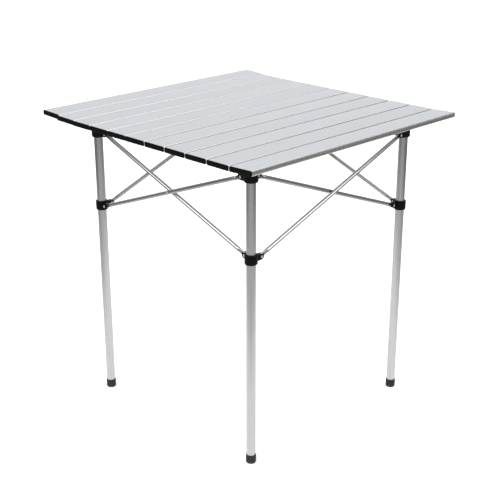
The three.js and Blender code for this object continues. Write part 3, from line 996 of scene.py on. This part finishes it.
def make_top():
    """The slats, their caps, and the two cords through them."""
    cap = make_cap_master()
    for number in range(1, SLAT_COUNT + 1):
        make_slat(number)
        make_caps(cap, number)
    for number in range(1, SLAT_COUNT):
        for side in (-1, 1):
            make_cord(number, side)
    bpy.data.objects.remove(cap)


# ---- studio ----

def disc(name, radius, height):
    """A flat disc, level, about the Z axis."""
    def build(work):
        bmesh.ops.create_circle(work, cap_ends=True, segments=96, radius=radius)

    piece = mesh_object(name, build)
    piece.location.z = height
    return piece


def make_floor():
    """A plain white floor, which the metal's reflections don't show."""
    floor = disc("floor", FLOOR_RADIUS, 0)
    paint = bpy.data.materials.new("floor_paint")
    paint.use_nodes = True
    shader = paint.node_tree.nodes["Principled BSDF"]
    shader.inputs["Base Color"].default_value = (0.92, 0.92, 0.92, 1)
    shader.inputs["Roughness"].default_value = 0.9
    shader.inputs["Specular IOR Level"].default_value = 0.0
    shader.inputs["Emission Color"].default_value = (1, 1, 1, 1)
    shader.inputs["Emission Strength"].default_value = FLOOR_GLOW
    floor.data.materials.append(paint)
    floor.visible_glossy = False


def make_pool():
    """The floor's light as the metal reflects it: bright below the table, dim to both sides."""
    pool = disc("floor_light_pool", POOL_RADIUS, POOL_HEIGHT)
    pool.rotation_euler.z = math.radians(POOL_TURN)
    warm, cool = (1.0, 0.97, 0.92), (0.97, 0.985, 1.03)
    material = bpy.data.materials.new("pool_light")
    material.use_nodes = True
    tree = material.node_tree
    nodes, links = tree.nodes, tree.links
    nodes.clear()
    place = nodes.new("ShaderNodeTexCoord").outputs["Object"]
    length = nodes.new("ShaderNodeVectorMath")
    length.operation = "LENGTH"
    links.new(place, length.inputs[0])
    split = nodes.new("ShaderNodeSeparateXYZ")
    links.new(place, split.inputs["Vector"])
    aside = maths(tree, "ABSOLUTE", split.outputs["Y"])
    level = maths(tree, "ADD", map_range(tree, length.outputs["Value"], *POOL_CENTRE, "SMOOTHSTEP"),
                  map_range(tree, aside, *POOL_ASIDE, "SMOOTHSTEP"))
    glow = nodes.new("ShaderNodeEmission")
    links.new(level, glow.inputs["Strength"])
    links.new(mix_colours(tree, level, warm, cool), glow.inputs["Color"])
    output = nodes.new("ShaderNodeOutputMaterial")
    links.new(glow.outputs["Emission"], output.inputs["Surface"])
    pool.data.materials.append(material)
    for ray in ("camera", "diffuse", "shadow", "transmission", "volume_scatter"):
        setattr(pool, f"visible_{ray}", False)


def aim(azimuth, elevation):
    """A direction, from an azimuth from +X towards +Y and an elevation, in degrees."""
    turn, lift = math.radians(azimuth), math.radians(elevation)
    level = math.cos(lift)
    return Vector((math.cos(turn) * level, math.sin(turn) * level, math.sin(lift)))


class Sky:
    """The studio around the table, as brightness by direction."""

    def __init__(self):
        world = bpy.data.worlds.new("studio")
        bpy.context.scene.world = world
        world.use_nodes = True
        self.tree = world.node_tree
        self.nodes, self.links = self.tree.nodes, self.tree.links
        self.direction = self.nodes.new("ShaderNodeTexCoord").outputs["Generated"]
        self.total = None

    def add(self, value, *ranges):
        """Adds a brightness that changes smoothly over a range of a value."""
        level = map_range(self.tree, value, *ranges, "SMOOTHSTEP")
        if self.total is not None:
            level = maths(self.tree, "ADD", self.total, level)
        self.total = level

    def heights(self, low, high, below, above):
        """Adds one level below a height on the unit sphere, and another above a second height."""
        split = self.nodes.new("ShaderNodeSeparateXYZ")
        self.links.new(self.direction, split.inputs["Vector"])
        self.add(split.outputs["Z"], low, high, below, above)

    def lobe(self, direction, inner, outer, level):
        """Adds a round patch about a direction, whose soft edge lies between two angles."""
        node = self.nodes.new("ShaderNodeVectorMath")
        node.operation = "DOT_PRODUCT"
        self.links.new(self.direction, node.inputs[0])
        node.inputs[1].default_value = aim(*direction)
        far, near = math.cos(math.radians(outer)), math.cos(math.radians(inner))
        self.add(node.outputs["Value"], far, near, 0, level)

    def close(self):
        """Uses the brightness so far for the light, and plain white for what the camera sees."""
        seen = self.nodes.new("ShaderNodeLightPath").outputs["Is Camera Ray"]
        node = self.nodes.new("ShaderNodeMix")
        self.links.new(seen, node.inputs["Factor"])
        self.links.new(self.total, node.inputs["A"])
        node.inputs["B"].default_value = 1.0
        background = self.nodes["Background"]
        background.inputs["Color"].default_value = (1, 1, 1, 1)
        self.links.new(node.outputs["Result"], background.inputs["Strength"])


def make_world():
    """Grey walls, a lit backdrop, a patch overhead and a tall softbox on either side."""
    sky = Sky()
    sky.heights(*HORIZON, *WALL_LEVELS)
    sky.lobe(*BACKDROP)
    sky.lobe(*OVERHEAD)
    for azimuth in SIDE_AZIMUTHS:
        for elevation in SIDE_ELEVATIONS:
            sky.lobe((azimuth, elevation), *SIDE_LOBE)
    sky.close()


def softbox(name, target, azimuth, elevation, distance, size, power):
    """A square area light that faces a point."""
    light = bpy.data.lights.new(name, "AREA")
    light.shape = "SQUARE"
    light.size = size
    light.energy = power
    back = aim(azimuth, elevation)
    lamp = bpy.data.objects.new(name, light)
    lamp.location = Vector(target) + back * distance
    lamp.rotation_mode = "QUATERNION"
    lamp.rotation_quaternion = (-back).to_track_quat("-Z", "Y")
    bpy.context.scene.collection.objects.link(lamp)


def make_camera():
    data = bpy.data.cameras.new("camera")
    data.sensor_width = CAMERA_SENSOR
    data.lens = CAMERA_LENS
    data.clip_end = CAMERA_REACH
    camera = bpy.data.objects.new("camera", data)
    back = aim(*CAMERA_DIRECTION)
    camera.location = Vector(CAMERA_TARGET) + back * CAMERA_DISTANCE
    camera.rotation_mode = "QUATERNION"
    camera.rotation_quaternion = (-back).to_track_quat("-Z", "Y")
    bpy.context.scene.collection.objects.link(camera)
    bpy.context.scene.camera = camera


make_camera()
make_top()
make_frame()
make_floor()
make_pool()
make_world()
softbox("key", **KEY_LIGHT)
bpy.context.scene.view_settings.view_transform = "Standard"
